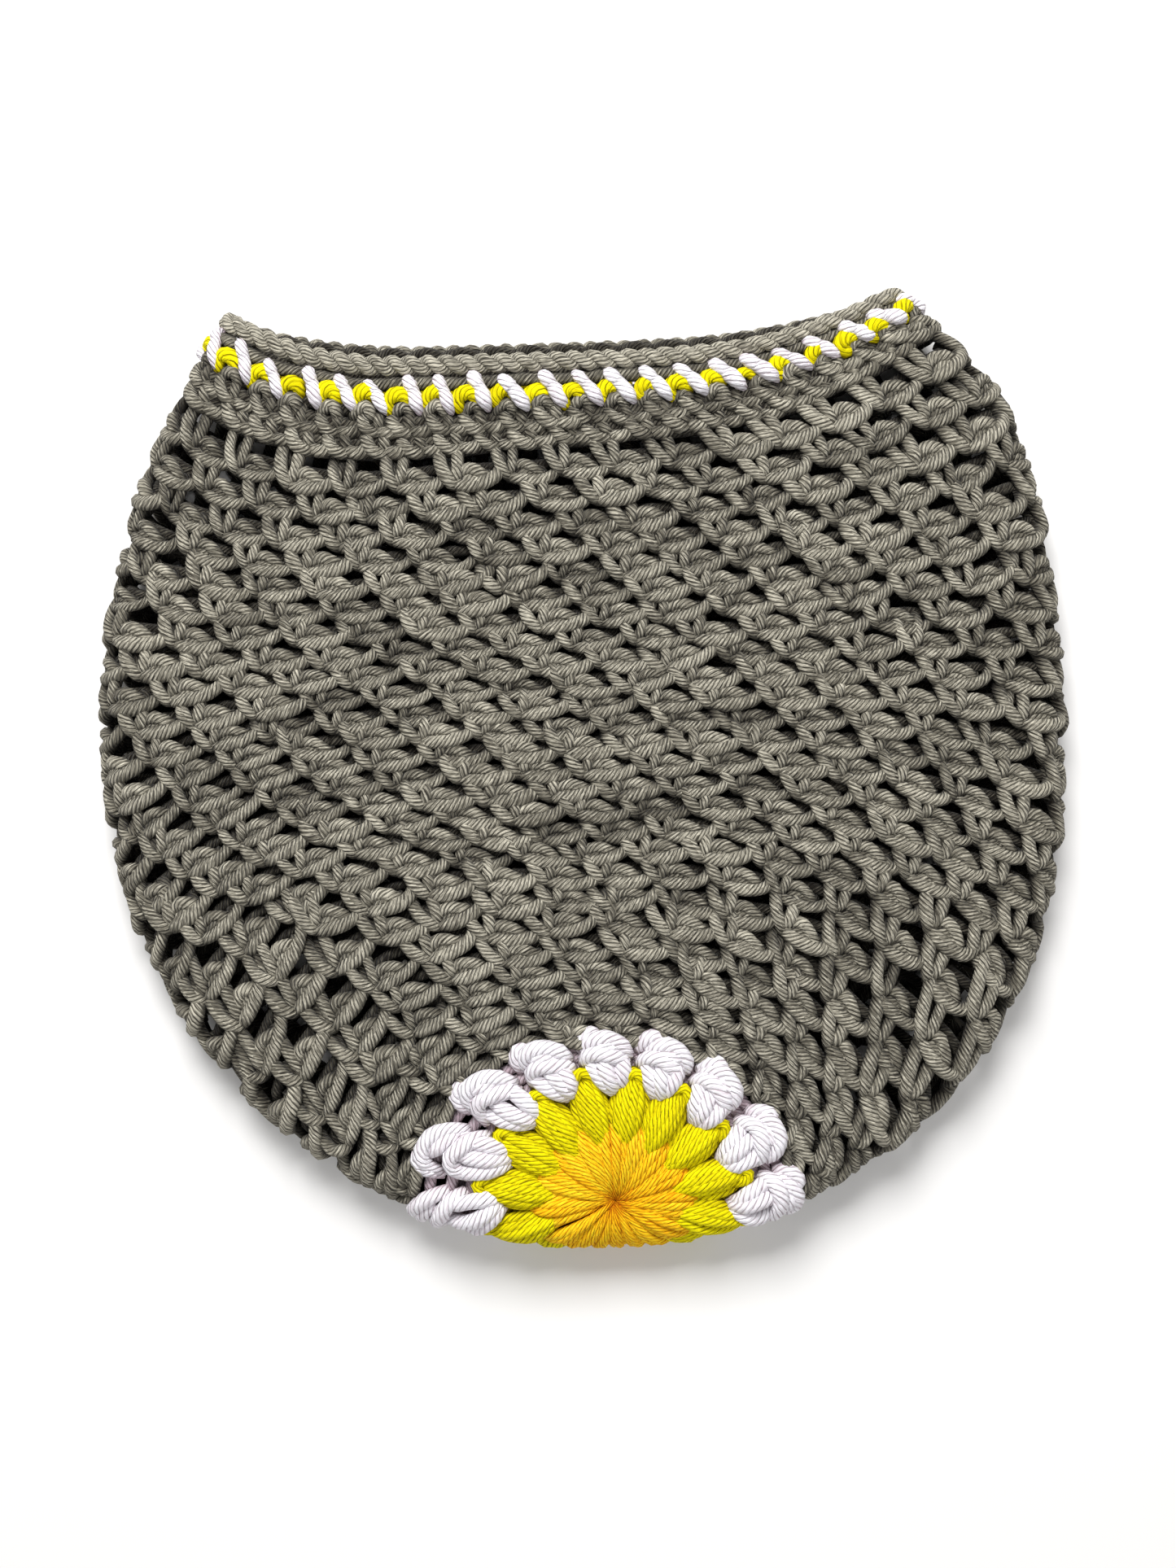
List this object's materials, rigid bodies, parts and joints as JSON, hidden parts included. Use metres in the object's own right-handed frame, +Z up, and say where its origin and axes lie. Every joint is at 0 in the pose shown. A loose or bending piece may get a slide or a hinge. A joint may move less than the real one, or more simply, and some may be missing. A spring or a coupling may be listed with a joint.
{
  "type": "crochet bag",
  "caption": "Small soft crocheted bag lying flat, open at the mouth, with a daisy worked into its rounded base and a two-colour stripe below the rim.",
  "frame": {"origin": "bottom centre of the box of the bag as it lies on its back on a flat surface", "axes": "+Z up through the two walls, +Y towards the mouth, +X to the right seen from above with the mouth away from the viewer"},
  "size_m": [0.2009, 0.1976, 0.0203],
  "materials": {
    "taupe_yarn": "matt plied acrylic yarn, slightly fuzzy",
    "white_yarn": "soft plied acrylic yarn",
    "yellow_yarn": "soft plied acrylic yarn",
    "orange_yarn": "soft plied acrylic yarn"
  },
  "bodies": {
    "root": {"flower_centre": "orange_yarn", "petal_ring": "yellow_yarn", "cluster_ring": "white_yarn", "bag_body": "taupe_yarn", "collar_band": "taupe_yarn", "stripe_band": "yellow_yarn", "stripe_stitches": "white_yarn", "rim_edge": "taupe_yarn"}
  },
  "joints": []
}
